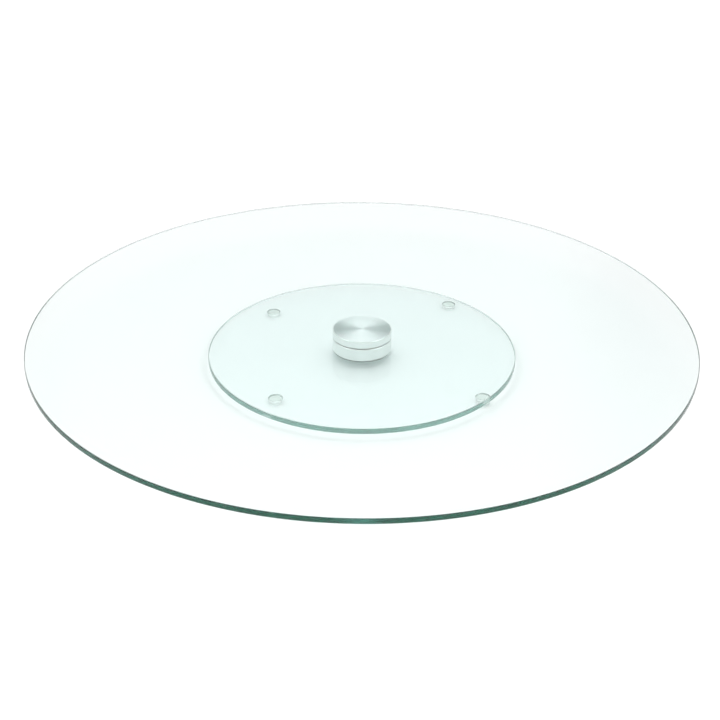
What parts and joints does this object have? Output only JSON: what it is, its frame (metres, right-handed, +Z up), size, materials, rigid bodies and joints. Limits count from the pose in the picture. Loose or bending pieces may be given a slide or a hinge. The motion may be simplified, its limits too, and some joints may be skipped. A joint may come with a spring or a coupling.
{
  "type": "turntable display stand",
  "caption": "Round glass platter that turns freely on a brushed aluminium swivel hub, bonded to a smaller round glass base with clear bumper feet.",
  "frame": {"origin": "on the turning axis, in the plane that the feet stand on", "axes": "+Z up along the turning axis, +X to the right and +Y to the back as the feet are set"},
  "size_m": [0.5999, 0.6, 0.0351],
  "materials": {
    "glass": "clear toughened float glass, polished edges",
    "bond_film": "clear cured UV adhesive",
    "hub_aluminium": "turned and clear anodised, satin",
    "hardened_steel": "ground bearing steel",
    "ball_steel": "polished bearing balls",
    "pressed_steel": "pressed cold-rolled strip",
    "turned_steel": "fine turned",
    "zinc_plate": "bright zinc plated",
    "nylon": "moulded, natural colour",
    "bumper": "clear moulded polyurethane",
    "adhesive": "clear acrylic adhesive"
  },
  "bodies": {
    "base": {"base_glass": "glass", "base_bond_film": "bond_film", "hub_body": "hub_aluminium", "lower_thrust_race": "hardened_steel", "bearing_outer_ring": "hardened_steel", "bearing_shield_upper": "pressed_steel", "bearing_shield_lower": "pressed_steel", "foot_front_left": "bumper", "foot_front_right": "bumper", "foot_back_left": "bumper", "foot_back_right": "bumper", "foot_adhesive_front_left": "adhesive", "foot_adhesive_front_right": "adhesive", "foot_adhesive_back_left": "adhesive", "foot_adhesive_back_right": "adhesive"},
    "platter": {"platter_glass": "glass", "platter_bond_film": "bond_film", "hub_cap": "hub_aluminium", "upper_thrust_race": "hardened_steel", "spindle": "turned_steel", "bearing_inner_ring": "hardened_steel", "retaining_washer": "zinc_plate", "retaining_screw": "zinc_plate"},
    "thrust_cage": {"thrust_cage": "nylon", "thrust_balls": "ball_steel"},
    "bearing_cage": {"bearing_cage_upper": "pressed_steel", "bearing_cage_lower": "pressed_steel", "bearing_cage_rivets": "pressed_steel", "bearing_balls": "ball_steel"}
  },
  "joints": [
    {"name": "platter_spin", "type": "hinge", "parent": "base", "child": "platter", "pos_m": [0, 0, 0.02255], "axis": [0, 0, 1], "continuous": true},
    {"name": "thrust_cage_orbit", "type": "hinge", "parent": "base", "child": "thrust_cage", "pos_m": [0, 0, 0.02255], "axis": [0, 0, 1], "continuous": true},
    {"name": "bearing_cage_orbit", "type": "hinge", "parent": "base", "child": "bearing_cage", "pos_m": [0, 0, 0.01655], "axis": [0, 0, 1], "continuous": true}
  ],
  "couplings": [
    {"joint": "thrust_cage_orbit", "follows": "platter_spin", "ratio": 0.5},
    {"joint": "bearing_cage_orbit", "follows": "platter_spin", "ratio": 0.4008}
  ]
}
